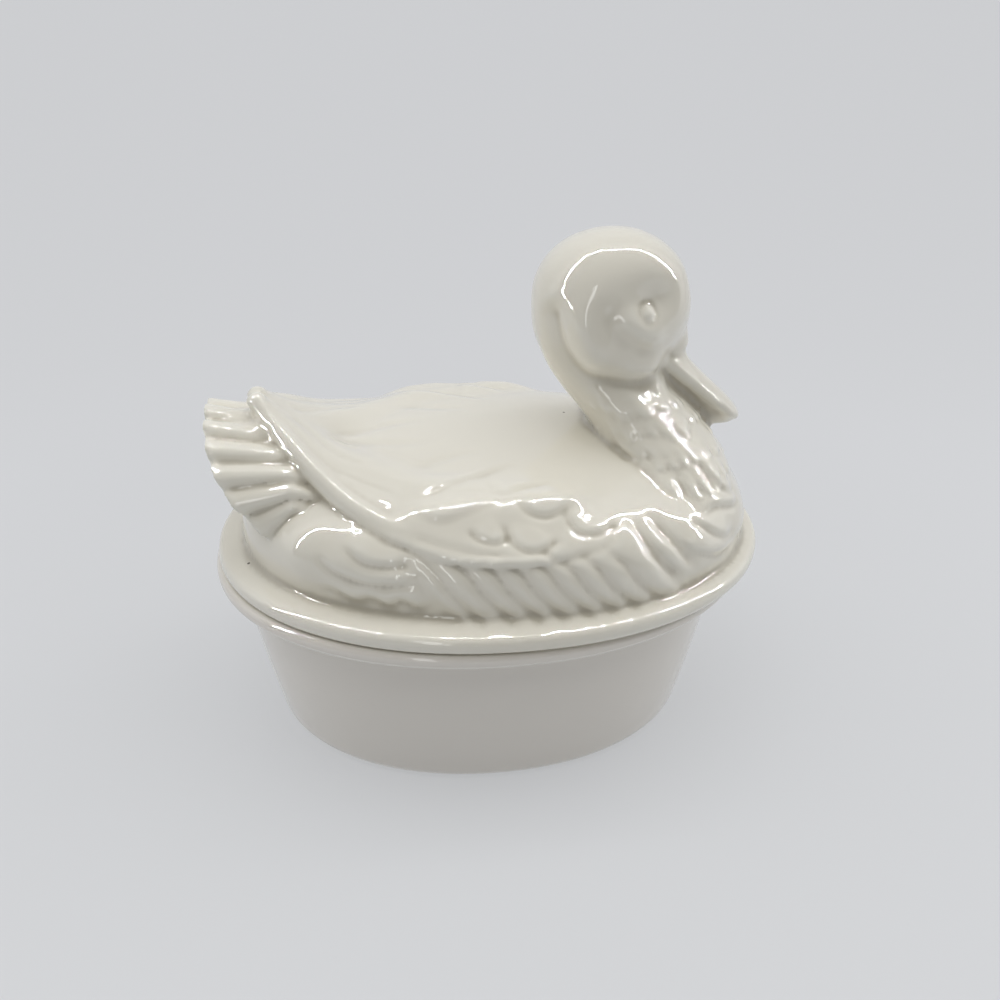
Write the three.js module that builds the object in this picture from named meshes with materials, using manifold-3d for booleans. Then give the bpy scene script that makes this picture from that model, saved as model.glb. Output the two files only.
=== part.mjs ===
// A covered oval baking dish of glazed ceramic, whose lid is a resting duck.
// Millimetres, +Z up. The duck heads along +X, and its left side is +Y.
// The origin is the middle of the dish's flat base, on the table.
// Two castings: the dish, and the lid, which lifts straight off and is hollow up into the head.

import * as THREE from "three";
import { ParametricGeometry } from "three/addons/geometries/ParametricGeometry.js";
import { mergeVertices } from "three/addons/utils/BufferGeometryUtils.js";
import Module from "manifold-3d";

const wasm = await Module();
wasm.setup();

// Dish, outside sizes over the rolled rim
const dishLength = 225;
const dishWidth = 189;
const dishHeight = 72.5;
const baseLength = 179;
const baseWidth = 150;
const dishWall = 5.5;
const dishFloor = 6.5;
const lipHeight = 6;
const lipReach = 9;
const lipRound = 2.6;
const lipFillet = 3;
const baseRound = 5;
const floorRound = 14;
const wallSwell = 0.8;

// Lid, from the flange that covers the dish's rim to the ring that hangs inside it
const overhangAtEnds = 2.5;
const overhangAtSides = 0.5;
const lidLength = dishLength + 2 * overhangAtEnds;
const lidWidth = dishWidth + 2 * overhangAtSides;
const flangeThickness = 7;
const flangeRound = 2.8;
const flangeRise = 2.4;
const flangeLap = 2;
const seatGap = 0.3;
const skirtDepth = 8;
const skirtWall = 4.5;
const skirtBevel = 1;
const skirtPlay = 6.5;
const seatShift = 4;
const lidWall = 5.5;

// Duck's body above the underside of the flange, and the flange left bare around it
const bareAtTail = 11.5;
const bareAtBreast = 7;
const bareAtSide = 11.5;
const backHeight = 50;
const widestHeight = 15;
const widestForward = 8;
const bodySwell = 0.8;

// Neck and head: height, back, front and half width of each level section, and the power of
// its front, which is more pointed at the face. Back and front are forward of the lid's middle.
const neckSections = [
  [10, 46, 105.5, 54, 2.15],
  [19, 46, 107, 56, 2.15],
  [27, 46, 104.5, 54, 2.15],
  [35, 46, 100, 51, 2.15],
  [43, 45, 94, 46, 2.1],
  [50, 42, 88.5, 39.5, 2],
  [58, 36.5, 82.5, 32.5, 1.8],
  [67, 29.5, 79, 28.5, 1.5],
  [75, 24, 77.5, 27, 1.3],
  [82, 20.5, 79.5, 28, 1.3],
  [90, 17.5, 81.5, 30, 1.5],
  [100, 16.5, 81.5, 30.5, 1.8],
  [110, 17.5, 79.5, 29, 2],
  [119, 22, 75.5, 25, 2.1],
  [126, 30, 68, 18.5, 2.15],
  [130, 39.5, 59.5, 10, 2.15],
];
const headTop = [131.5, 49.5];

// Bill: its side edges start inside the face and slope down past the breast. A rounded
// ridge stands over the edges, and the sides go down from them to the flat underside.
const billStart = [58, 89];
const billLength = 62.5;
const billSlopeDegrees = 39;
const billWidth = 22;
const billTipWidth = 19;
const billRidge = 9;
const billTipRidge = 4;
const billDepth = 12.5;
const billTipDepth = 4;

// Folded wing, as forward, sideways and height of its lower edge and its upper edge
// from shoulder to tip. The two wings mirror each other, and their tips meet over the tail.
const wingLowerEdge = [
  [44.5, 66, 30],
  [34.5, 74, 30.5],
  [14.5, 80.5, 30],
  [-7.5, 82, 30.5],
  [-33.5, 75.5, 33],
  [-54.5, 60, 38],
  [-71.5, 42, 45.5],
  [-82.5, 28, 54],
  [-91.5, 13, 62.5],
  [-96.5, 4, 71],
];
const wingUpperEdge = [
  [43.5, 65, 33],
  [34.5, 58, 40],
  [14.5, 52, 45],
  [-7.5, 46, 47.5],
  [-33.5, 38, 48],
  [-54.5, 28, 49],
  [-71.5, 18, 53],
  [-82.5, 10, 60],
  [-90.5, 5, 66.5],
  [-94.5, 2.5, 73],
];
const wingBulge = 4;
const wingRoot = 12;

// Tail: feathers spread over an arch from one flank up over the rump to the other. The arch
// comes out of the back under the wings, at the root, and reaches the tips past the rump.
const tailStart = { forward: -56, halfWidth: 40, low: 32, rise: 13 };
const tailRoot = { forward: -82, halfWidth: 42, low: 38, rise: 22 };
const tailTip = { forward: -115, halfWidth: 42, low: 28, rise: 35.5 };
const tailRootShare = 0.45;
const tailTipSweep = 20.5;
const tailReachDegrees = 97;
const tailThickness = 6;
const tailStartThickness = 20;
const featherCount = 11;
const featherRelief = 1.8;

const ovalPower = 2.1;
const bodyPower = 2.15;
const archPower = 2.5;
const breastPower = 2.2;
const rumpPower = 3.4;
const billPower = 4;
const billTipPower = 8;
const billThinPower = 3;
const wingEndPower = 5.7;
const tailSweepPower = 3;

// Step counts: fine enough that a flat facet stays under half a millimetre off the curve
const ovalStepCount = 64;
const bodyStepCount = 48;
const neckStepCount = 32;
const neckLevelCount = 24;
const bodyLevelCount = 8;
const hollowStepCount = 36;
const hollowNeckStepCount = 20;
const hollowNeckLevelCount = 14;
const turnStepCount = 3;
const billStepCount = 20;
const billRingCount = 10;
const wingStepCount = 16;
const wingSectionCount = 24;
const tailStepCount = 7;
const featherStepCount = 4;
const capCount = 2;

// The back is flat past this turn of its arch, and the crown of the head has this radius
const backTurnDegrees = 89;
const crownRadius = 1;

// How far a cut runs past the face that it leaves by
const clearCut = 2;

const weld = 1e-3;
const degree = Math.PI / 180;

const glaze = { color: 0xe6e2d8, roughness: 0.12, metalness: 0 };

// A closed solid from a surface whose point is a function of two parameters from 0 to 1.
function solidOf(pointAt, across, along) {
  const geometry = new ParametricGeometry(pointAt, across, along);
  geometry.deleteAttribute("normal");
  geometry.deleteAttribute("uv");
  const merged = mergeVertices(geometry, weld);
  const corners = merged.index.array;
  const triVerts = [];
  for (let i = 0; i < corners.length; i += 3) {
    const [a, b, c] = [corners[i], corners[i + 1], corners[i + 2]];
    const collapsed = a === b || b === c || c === a;
    if (!collapsed) triVerts.push(a, b, c);
  }
  const mesh = new wasm.Mesh({
    numProp: 3,
    vertProperties: merged.attributes.position.array,
    triVerts: new Uint32Array(triVerts),
  });
  return new wasm.Manifold(mesh);
}

// The sine or cosine raised to 2 / power with its sign kept, as a superellipse needs.
function squarer(value, power) {
  return Math.sign(value) * Math.abs(value) ** (2 / power);
}

// A solid stacked from level ovals. Each ring has its height z, its widest place x,
// its reach front and back of that place, its half width side, its power, and the power of
// its front where that differs.
function stackOf(rings, steps) {
  const first = { ...rings[0], front: 0, back: 0, side: 0 };
  const last = { ...rings[rings.length - 1], front: 0, back: 0, side: 0 };
  const all = [first, ...rings, last];
  const pointAt = (u, v, target) => {
    const angle = 2 * Math.PI * (u % 1);
    const ring = all[Math.round(v * (all.length - 1))];
    const forward = Math.cos(angle) > 0;
    const power = forward ? ring.frontPower ?? ring.power : ring.power;
    const ahead = squarer(Math.cos(angle), power);
    const aside = squarer(Math.sin(angle), power);
    const reach = forward ? ring.front : ring.back;
    target.set(ring.x + reach * ahead, ring.side * aside, ring.z);
  };
  return solidOf(pointAt, steps, all.length - 1);
}

// A ring of the rim's oval family with the given half length and half width.
function ovalRing(z, halfLength, halfWidth) {
  return { z, x: 0, front: halfLength, back: halfLength, side: halfWidth, power: ovalPower };
}

// Points of a quarter circle of the given radius about (across, z), as [across, z].
function quarterTurn(across, z, radius, fromDegrees, steps) {
  const points = [];
  for (let i = 0; i <= steps; i += 1) {
    const angle = (fromDegrees + (90 * i) / steps) * degree;
    points.push([across + radius * Math.cos(angle), z + radius * Math.sin(angle)]);
  }
  return points;
}

// Smooth rows through the rows of a table, each column as its own curve.
function smoothRows(rows, count) {
  const at = rows[0].map((_, column) => {
    const points = rows.map((row, i) => new THREE.Vector2(i, row[column]));
    return new THREE.SplineCurve(points);
  });
  const smooth = [];
  for (let i = 0; i <= count; i += 1) {
    smooth.push(at.map((curve) => curve.getPoint(i / count).y));
  }
  return smooth;
}

// Dish

// Half length and half width of the wall's outside at a height above the table.
function wallAt(height) {
  const share = height / (dishHeight - lipHeight);
  const swell = wallSwell * Math.sin(Math.PI * share);
  const length = THREE.MathUtils.lerp(baseLength / 2, dishLength / 2 - lipReach, share);
  const width = THREE.MathUtils.lerp(baseWidth / 2, dishWidth / 2 - lipReach, share);
  return [length + swell, width + swell];
}

// The wall's oval at a height, drawn in by a wall's thickness or a rounding.
function wallRing(height, inward) {
  const [length, width] = wallAt(height);
  return ovalRing(height, length - inward, width - inward);
}

function dishOutside() {
  const lipLow = dishHeight - lipHeight;
  const rings = [];
  for (const [inward, z] of quarterTurn(-baseRound, baseRound, baseRound, 270, turnStepCount)) {
    rings.push(wallRing(z, -inward));
  }
  for (const share of [0.5, 1]) {
    rings.push(wallRing(THREE.MathUtils.lerp(baseRound, lipLow - lipFillet, share), 0));
  }
  rings.push(wallRing(lipLow, -lipFillet));
  const lip = [
    ...quarterTurn(-lipRound, lipLow + lipRound, lipRound, 270, turnStepCount),
    ...quarterTurn(-lipRound, dishHeight - lipRound, lipRound, 0, turnStepCount),
  ];
  for (const [inward, z] of lip) {
    rings.push(ovalRing(z, dishLength / 2 + inward, dishWidth / 2 + inward));
  }
  return stackOf(rings, ovalStepCount);
}

function dishInside() {
  const rings = [];
  const floorTurn = quarterTurn(-floorRound, dishFloor + floorRound, floorRound, 270, turnStepCount);
  for (const [inward, z] of floorTurn) {
    rings.push(wallRing(z, dishWall - inward));
  }
  const mouthLow = dishHeight - lipRound;
  for (const share of [0.5, 1]) {
    rings.push(wallRing(THREE.MathUtils.lerp(dishFloor + floorRound, mouthLow, share), dishWall));
  }
  rings.push(wallRing(dishHeight, dishWall - lipRound));
  rings.push(wallRing(dishHeight + clearCut, dishWall - lipRound));
  return stackOf(rings, ovalStepCount);
}

// Lid, in its own frame: x = 0 at its middle, z = 0 at the underside of the flange

const skirtHalfLength = dishLength / 2 - lipReach - dishWall - skirtPlay;
const skirtHalfWidth = dishWidth / 2 - lipReach - dishWall - skirtPlay;
const bodyFront = lidLength / 2 - bareAtBreast;
const bodyBack = lidLength / 2 - bareAtTail;
const bodySide = lidWidth / 2 - bareAtSide;

function flange() {
  const rings = [];
  const edge = [
    ...quarterTurn(-flangeRound, flangeRound, flangeRound, 270, turnStepCount),
    ...quarterTurn(-flangeRound, flangeThickness - flangeRound, flangeRound, 0, turnStepCount),
  ];
  for (const [inward, z] of edge) {
    rings.push(ovalRing(z, lidLength / 2 + inward, lidWidth / 2 + inward));
  }
  rings.push(ovalRing(flangeThickness + flangeRise, bodyBack - flangeLap, bodySide - flangeLap));
  return stackOf(rings, ovalStepCount);
}

function skirt() {
  const rings = [
    ovalRing(-skirtDepth, skirtHalfLength - skirtBevel, skirtHalfWidth - skirtBevel),
    ovalRing(skirtBevel - skirtDepth, skirtHalfLength, skirtHalfWidth),
    ovalRing(flangeThickness / 2, skirtHalfLength, skirtHalfWidth),
  ];
  return stackOf(rings, ovalStepCount);
}

// The opening through the flange and the skirt.
function mouth() {
  const low = -skirtDepth - clearCut;
  const high = flangeThickness + clearCut;
  const length = skirtHalfLength - skirtWall;
  const width = skirtHalfWidth - skirtWall;
  return stackOf([ovalRing(low, length, width), ovalRing(high, length, width)], bodyStepCount);
}

// The duck's body without neck, wings and tail, or the hollow in it when inset is a wall.
function body(inset, steps) {
  const rings = [];
  const level = { x: widestForward, power: bodyPower };
  const foot = inset > 0 ? flangeThickness : flangeThickness / 2;
  rings.push({
    ...level,
    z: foot,
    front: bodyFront - widestForward - inset,
    back: bodyBack + widestForward - inset,
    side: bodySide - inset,
  });
  for (let i = 0; i <= bodyLevelCount; i += 1) {
    const angle = (backTurnDegrees * degree * i) / bodyLevelCount;
    const rise = squarer(Math.sin(angle), archPower);
    const draw = squarer(Math.cos(angle), archPower);
    const breast = squarer(Math.cos(angle), breastPower);
    const rump = squarer(Math.cos(angle), rumpPower);
    rings.push({
      ...level,
      z: widestHeight + (backHeight - widestHeight - inset) * rise,
      front: (bodyFront - widestForward - inset) * breast,
      back: (bodyBack + widestForward + bodySwell - inset) * rump,
      side: (bodySide + bodySwell - inset) * draw,
    });
  }
  return stackOf(rings, steps);
}

// Neck and head in one, or the hollow in them when inset is a wall.
function neck(inset, levels, steps) {
  const rings = smoothRows(neckSections, levels).map(([z, back, front, side, frontPower]) => ({
    z,
    x: (back + front) / 2,
    front: (front - back) / 2 - inset,
    back: (front - back) / 2 - inset,
    side: side - inset,
    power: bodyPower,
    frontPower,
  }));
  const [topHeight, topForward] = headTop;
  const tall = topHeight - inset;
  const kept = rings.filter((ring) => ring.z < tall - crownRadius && ring.side > crownRadius);
  const crown = { front: crownRadius, back: crownRadius, side: crownRadius, power: 2 };
  kept.push({ z: tall, x: topForward, ...crown });
  return stackOf(kept, steps);
}

function bill() {
  const slope = billSlopeDegrees * degree;
  const [startForward, startHeight] = billStart;
  const start = new THREE.Vector3(startForward, 0, startHeight);
  const along = new THREE.Vector3(Math.cos(slope), 0, -Math.sin(slope));
  const up = new THREE.Vector3(Math.sin(slope), 0, Math.cos(slope));
  const aside = new THREE.Vector3(0, 1, 0);
  const pointAt = (u, v, target) => {
    const angle = 2 * Math.PI * (u % 1);
    const row = Math.round(v * (billRingCount + 1)) - 1;
    const share = Math.sin((90 * degree * Math.max(row, 0)) / billRingCount);
    const taper = row < 0 ? 0 : Math.sqrt(1 - share ** billTipPower);
    const width = THREE.MathUtils.lerp(billWidth, billTipWidth, share) * taper;
    const ridge = THREE.MathUtils.lerp(billRidge, billTipRidge, share) * Math.sin(angle);
    const depth = THREE.MathUtils.lerp(billDepth, billTipDepth, share ** billThinPower);
    const under = depth * squarer(Math.sin(angle), billPower);
    target.copy(start);
    target.addScaledVector(along, billLength * share);
    target.addScaledVector(aside, (Math.cos(angle) * width) / 2);
    target.addScaledVector(up, taper * (angle < Math.PI ? ridge : under));
  };
  return solidOf(pointAt, billStepCount, billRingCount + 1);
}

// A folded wing: ovals from its lower to its upper edge, carried from shoulder to tip.
function wing(side) {
  const toCurve = (rows) => {
    const points = rows.map(([x, y, z]) => new THREE.Vector3(x, side * y, z));
    return new THREE.CatmullRomCurve3(points);
  };
  const lower = toCurve(wingLowerEdge);
  const upper = toCurve(wingUpperEdge);
  const pointAt = (u, v, target) => {
    const angle = side * 2 * Math.PI * (u % 1);
    const low = lower.getPoint(v);
    const high = upper.getPoint(v);
    const half = high.clone().sub(low).multiplyScalar(0.5);
    const outward = lower.getTangent(v).cross(half).multiplyScalar(side).normalize();
    const ends = v === 0 || v === 1 ? 0 : squarer(Math.sin(Math.PI * v), wingEndPower);
    const depth = Math.sin(angle) > 0 ? wingBulge : wingRoot;
    target.addVectors(low, high).multiplyScalar(0.5);
    target.addScaledVector(half, ends > 0 ? Math.cos(angle) : 0);
    target.addScaledVector(outward, depth * ends * Math.sin(angle));
  };
  return solidOf(pointAt, wingStepCount, wingSectionCount);
}

// Point of an arch over the rump, at an angle from the top of the arch.
function archPoint(arch, angle, sweep) {
  const y = arch.halfWidth * Math.sin(angle);
  return new THREE.Vector3(arch.forward + sweep, y, arch.low + arch.rise * Math.cos(angle));
}

// Point of the tail's top surface at an angle, on the way from the start over the root to the tip.
function tailPoint(angle, share) {
  const sweep = tailTipSweep * Math.abs(angle / (90 * degree)) ** tailSweepPower;
  const root = archPoint(tailRoot, angle, 0);
  if (share < tailRootShare) {
    return archPoint(tailStart, angle, 0).lerp(root, share / tailRootShare);
  }
  const onward = (share - tailRootShare) / (1 - tailRootShare);
  return root.lerp(archPoint(tailTip, angle, sweep), onward);
}

// Tail: a thick sheet over the arches, with one rounded rib a feather.
function tail() {
  const sections = featherCount * featherStepCount;
  const reach = tailReachDegrees * degree;
  const pointAt = (u, v, target) => {
    const row = Math.round(v * (sections + capCount)) - 1;
    const capped = row < 0 || row > sections;
    const across = THREE.MathUtils.clamp(row / sections, 0, 1);
    const angle = reach * (1 - 2 * across);
    const around = (u % 1) * 2;
    const outside = around <= 1;
    const share = outside ? around : 2 - around;
    const inward = new THREE.Vector3(0, -Math.sin(angle), -Math.cos(angle));
    const groove = featherRelief * (1 - Math.abs(Math.sin(Math.PI * featherCount * across)));
    const thickness = THREE.MathUtils.lerp(tailStartThickness, tailThickness, share);
    target.copy(tailPoint(angle, capped ? 0.5 : share));
    target.addScaledVector(inward, capped ? thickness / 2 : outside ? groove * share : thickness);
  };
  return solidOf(pointAt, 2 * tailStepCount, sections + capCount);
}

function lid() {
  const outside = flange()
    .add(skirt())
    .add(body(0, bodyStepCount))
    .add(neck(0, neckLevelCount, neckStepCount))
    .add(bill())
    .add(wing(-1))
    .add(wing(1))
    .add(tail());
  const hollow = mouth()
    .add(body(lidWall, hollowStepCount))
    .add(neck(lidWall, hollowNeckLevelCount, hollowNeckStepCount));
  return outside.subtract(hollow);
}

function meshOf(name, solid) {
  const made = solid.getMesh();
  const geometry = new THREE.BufferGeometry();
  const positions = new THREE.BufferAttribute(new Float32Array(made.vertProperties), 3);
  geometry.setAttribute("position", positions);
  geometry.setIndex(new THREE.BufferAttribute(made.triVerts, 1));
  geometry.computeVertexNormals();
  const mesh = new THREE.Mesh(geometry, new THREE.MeshStandardMaterial(glaze));
  mesh.name = name;
  return mesh;
}

const dishMesh = meshOf("dish", dishOutside().subtract(dishInside()));
const lidMesh = meshOf("lid", lid());
lidMesh.position.set(seatShift, 0, dishHeight + seatGap);

const casserole = new THREE.Group();
casserole.add(dishMesh, lidMesh);

export default casserole;
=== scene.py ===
# A covered oval baking dish of ivory glazed ceramic. Its lid is a resting duck.
# Shapes are worked out in millimetres and made in metres. The duck heads along +X.
import math
import bpy
import numpy as np
from mathutils import Euler, Matrix, Vector


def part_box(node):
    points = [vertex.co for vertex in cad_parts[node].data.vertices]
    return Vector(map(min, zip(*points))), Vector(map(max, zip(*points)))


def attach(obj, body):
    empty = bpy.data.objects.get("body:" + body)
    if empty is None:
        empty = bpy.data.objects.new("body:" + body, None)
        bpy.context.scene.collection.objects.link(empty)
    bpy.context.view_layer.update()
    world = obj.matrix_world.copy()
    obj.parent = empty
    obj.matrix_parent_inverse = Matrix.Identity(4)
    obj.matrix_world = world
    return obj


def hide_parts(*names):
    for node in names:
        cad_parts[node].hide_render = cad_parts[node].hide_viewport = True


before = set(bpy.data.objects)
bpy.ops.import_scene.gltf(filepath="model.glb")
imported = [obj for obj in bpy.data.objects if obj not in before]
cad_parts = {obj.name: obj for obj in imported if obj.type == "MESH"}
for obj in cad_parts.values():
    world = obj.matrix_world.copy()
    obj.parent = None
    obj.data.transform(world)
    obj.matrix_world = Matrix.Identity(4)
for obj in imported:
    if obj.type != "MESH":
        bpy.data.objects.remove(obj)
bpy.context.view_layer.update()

mm = 0.001
dishLow, dishHigh = [np.array(corner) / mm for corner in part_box("dish")]
lidLow, lidHigh = [np.array(corner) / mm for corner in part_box("lid")]


# General tools

# A superellipse's signed power: the value's size raised to 2 / power, with its sign kept.
def squarer(value, power):
    return np.sign(value) * np.abs(value) ** (2 / power)


# Smooth step from 0 at low to 1 at high, written 3s^2 - 2s^3.
def ease(low, high, value):
    share = np.clip((value - low) / (high - low), 0, 1)
    return share * share * (3 - 2 * share)


def blend(one, two, share):
    return one + (two - one) * share


def turns(steps):
    return 2 * np.pi * np.arange(steps) / steps


def unit(rows):
    return rows / np.linalg.norm(rows, axis=1, keepdims=True)


# A Catmull-Rom curve through the rows, taken at places from 0 to rows - 1.
def through(rows, places):
    rows = np.asarray(rows, float)
    padded = np.vstack([2 * rows[0] - rows[1], rows, 2 * rows[-1] - rows[-2]])
    start = np.clip(np.floor(places).astype(int), 0, len(rows) - 2)
    t = (places - start)[:, None]
    a, b, c, d = (padded[start + step] for step in range(4))
    cubic = (3 * b - a - 3 * c + d) * t ** 3 + (2 * a - 5 * b + 4 * c - d) * t ** 2
    return 0.5 * (cubic + (c - a) * t + 2 * b)


# The same curve at evenly spread places.
def curveOf(rows, count):
    return through(rows, np.linspace(0, len(rows) - 1, count))


# A closed skin over rings of points: quads between the rings, a fan on each end ring.
# It is turned inside out if its volume comes out negative.
def skin(rings):
    count, steps = rings.shape[:2]
    ends = np.array([rings[0].mean(axis=0), rings[-1].mean(axis=0)])
    places = np.vstack([rings.reshape(-1, 3), ends])
    here = np.arange(count * steps).reshape(count, steps)
    after = np.roll(here, -1, axis=1)
    quads = np.stack([here[:-1], after[:-1], after[1:], here[1:]], axis=-1).reshape(-1, 4)
    foot = np.stack([after[0], here[0], np.full(steps, count * steps)], axis=-1)
    top = np.stack([here[-1], after[-1], np.full(steps, count * steps + 1)], axis=-1)
    a, b, c, d = places[quads].transpose(1, 0, 2)
    volume = np.sum(a * np.cross(b, c)) + np.sum(a * np.cross(c, d))
    if volume < 0:
        quads, foot, top = quads[:, ::-1], foot[:, ::-1], top[:, ::-1]
    return places, quads.tolist() + foot.tolist() + top.tolist()


# One mesh from several skins.
def meshOf(name, skins):
    places, faces, first = [], [], 0
    for skinPlaces, skinFaces in skins:
        places.append(skinPlaces)
        faces += [[corner + first for corner in face] for face in skinFaces]
        first += len(skinPlaces)
    mesh = bpy.data.meshes.new(name)
    mesh.from_pydata((np.vstack(places) * mm).tolist(), [], faces)
    mesh.update()
    return mesh


def objectOf(name, data):
    made = bpy.data.objects.new(name, data)
    bpy.context.scene.collection.objects.link(made)
    return made


# The mesh that an object's modifiers make, kept in place of its own.
def settle(piece):
    bpy.context.view_layer.update()
    shown = piece.evaluated_get(bpy.context.evaluated_depsgraph_get())
    before = piece.data
    piece.data = bpy.data.meshes.new_from_object(shown)
    piece.modifiers.clear()
    bpy.data.meshes.remove(before)


# Level superellipses: reach front and back of x, half width side, at height z, one per ring.
def levelRings(z, x, front, back, side, power, frontPower, steps):
    columns = np.broadcast_arrays(z, x, front, back, side, power, frontPower)
    z, x, front, back, side, power, frontPower = (column[:, None] for column in columns)
    angle = turns(steps)
    ahead = np.cos(angle) > 0
    exponent = np.where(ahead, frontPower, power)
    forward = x + np.where(ahead, front, back) * squarer(np.cos(angle), exponent)
    aside = side * squarer(np.sin(angle), exponent)
    return np.stack([forward, aside, np.broadcast_to(z, forward.shape)], axis=-1)


# Rings of the rim's oval family, whose middle is at x = 0.
def ovalRings(z, halfLength, halfWidth, power, steps):
    return levelRings(z, 0, halfLength, halfLength, halfWidth, power, power, steps)


# Quarter circle from an angle in degrees, as across and height from its centre.
def quarter(across, height, radius, fromDegrees, steps=10):
    angle = np.radians(fromDegrees + np.linspace(0, 90, steps + 1))
    return np.stack([across + radius * np.cos(angle), height + radius * np.sin(angle)], axis=1)


# The rounded outer edge of a rim between two heights.
def roundEdge(low, high, radius):
    foot = quarter(-radius, low + radius, radius, 270)
    return np.vstack([foot, quarter(-radius, high - radius, radius, 0)])


# Dish

dishShape = {
    "size": dishHigh - dishLow,
    "baseLength": 179,
    "baseWidth": 150,
    "wall": 5.5,
    "floor": 6.5,
    "lipHeight": 6,
    "lipReach": 9,
    "lipRound": 2.6,
    "lipFillet": 3,
    "baseRound": 5,
    "floorRound": 14,
    "wallSwell": 0.8,
    "power": 2.1,
    "steps": 240,
    "levels": 25,
    "filletSteps": 8,
}


# A profile of [inward, height] carried round the oval, up the outside and down the inside.
# The wall leans from the base's oval to the rim's and swells by a sine of its height.
def dishRings(shape):
    baseRound, floorRound = shape["baseRound"], shape["floorRound"]
    fillet, lipRound = shape["lipFillet"], shape["lipRound"]
    length, width, height = shape["size"]
    low, lipLow = shape["floor"] + floorRound, height - shape["lipHeight"]
    up = np.linspace(baseRound, lipLow - fillet, shape["levels"] + 2)[1:-1]
    down = np.linspace(height - lipRound, low, shape["levels"])
    outer = np.vstack([quarter(-baseRound, baseRound, baseRound, 270), np.stack([0 * up, up], axis=1)])
    inner = np.vstack([
        np.stack([0 * down - shape["wall"], down], axis=1),
        quarter(-floorRound - shape["wall"], low, floorRound, 270)[::-1][1:],
    ])

    def wall(profile):
        share = profile[:, 1] / lipLow
        swell = shape["wallSwell"] * np.sin(np.pi * share) + profile[:, 0]
        halves = (
            blend(base / 2, over / 2 - shape["lipReach"], share) + swell
            for base, over in ((shape["baseLength"], length), (shape["baseWidth"], width))
        )
        return *halves, profile[:, 1]

    turn = np.radians(np.linspace(0, 90, shape["filletSteps"] + 1))
    inward, drop = 1 - np.sin(turn), 1 - np.cos(turn)
    under = np.stack([fillet * drop, lipLow - fillet * inward], axis=1)
    lip = roundEdge(lipLow, height, lipRound)
    rim = length / 2 + lip[:, 0], width / 2 + lip[:, 0], lip[:, 1]
    mouth = np.stack([lipRound * inward - shape["wall"], height - lipRound * drop], axis=1)
    parts = [wall(outer), wall(under), rim, wall(mouth), wall(inner[1:])]
    halfLength, halfWidth, level = (np.concatenate(column) for column in zip(*parts))
    return ovalRings(level, halfLength, halfWidth, shape["power"], shape["steps"])


def makeDish():
    dish = objectOf("dish_glazed", meshOf("dish_glazed", [skin(dishRings(dishShape))]))
    # Marks the grooves and creases that the glaze colours darker, partly as painted shade.
    markPoolAndShade(dish.data)
    dish.data.shade_smooth()
    return dish


# Lid. Its frame has x = 0 at the flange's middle and z = 0 at the underside of the flange.

lidShape = {
    "length": 230,
    "width": lidHigh[1] - lidLow[1],
    "flangeThickness": 7,
    "flangeRound": 2.8,
    "flangeRise": 2.6,
    "flangeLap": 6.5,
    "seatGap": 0.3,
    "skirtDepth": 8,
    "skirtHalf": [91.5, 73.5],  # length and width
    "skirtWall": 4.5,
    "skirtRound": 1.2,
    "wall": 5.5,
    "power": 2.1,
    "steps": 360,
    "mouthPast": 2,
    "mouthSteps": 128,
    "voxel": 1.1,
    "hollowVoxel": 3,
    "triangles": 192000,
    "sharpDegrees": 50,
    "fills": [  # centre, radii and passes of the places where two forms run into each other
        [[62, 50, 34], [30, 16, 14], 90],
        [[25, 30, 52], [16, 24, 8], 70],
        [[40, 62, 38], [16, 12, 8], 60],
        [[46, 0, 106], [30, 40, 28], 14],
        [[80, 0, 85], [9, 9, 8], 70],
        [[-66, 0, 52], [34, 16, 14], 90],
    ],
    "seamFills": [  # path, reach and passes along the wing's upper edge and over its rim
        [[[46, 64, 36], [34, 58, 42], [14, 52, 47], [-8, 46, 49], [-34, 38, 50], [-55, 18, 52],
          [-72, 3, 57]], 9, 70],
        [[[-86, 5, 65], [-78, 16, 60], [-68, 31, 53], [-56, 45, 47], [-42, 57, 43], [-28, 66, 41]], 7, 50],
    ],
}
lidPlace = np.array([lidHigh[0] - lidShape["length"] / 2, 0, dishHigh[2] + lidShape["seatGap"]])

bodyShape = {
    "bareAtTail": 11.5,
    "bareAtBreast": 7,
    "bareAtSide": 11.5,
    "backHeight": 50,
    "widestHeight": 15,
    "widestForward": 8,
    "swell": 0.8,
    "power": 2.15,
    "archPower": 2.5,
    "breastPower": 2.2,
    "rumpPower": 3.4,
}


def flangeSkin(shape):
    edge = roundEdge(0, shape["flangeThickness"], shape["flangeRound"])
    length, width = (
        np.append(shape[size] / 2 + edge[:, 0], shape[size] / 2 - bodyShape[bare] - shape["flangeLap"])
        for size, bare in (("length", "bareAtTail"), ("width", "bareAtSide"))
    )
    height = np.append(edge[:, 1], shape["flangeThickness"] + shape["flangeRise"])
    return skin(ovalRings(height, length, width, shape["power"], shape["steps"]))


def skirtSkin(shape):
    turn = quarter(-shape["skirtRound"], shape["skirtRound"] - shape["skirtDepth"], shape["skirtRound"], 270)
    inward = np.append(turn[:, 0], 0)
    height = np.append(turn[:, 1], shape["flangeThickness"] / 2)
    halves = (half + inward for half in shape["skirtHalf"])
    return skin(ovalRings(height, *halves, shape["power"], shape["steps"]))


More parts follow.
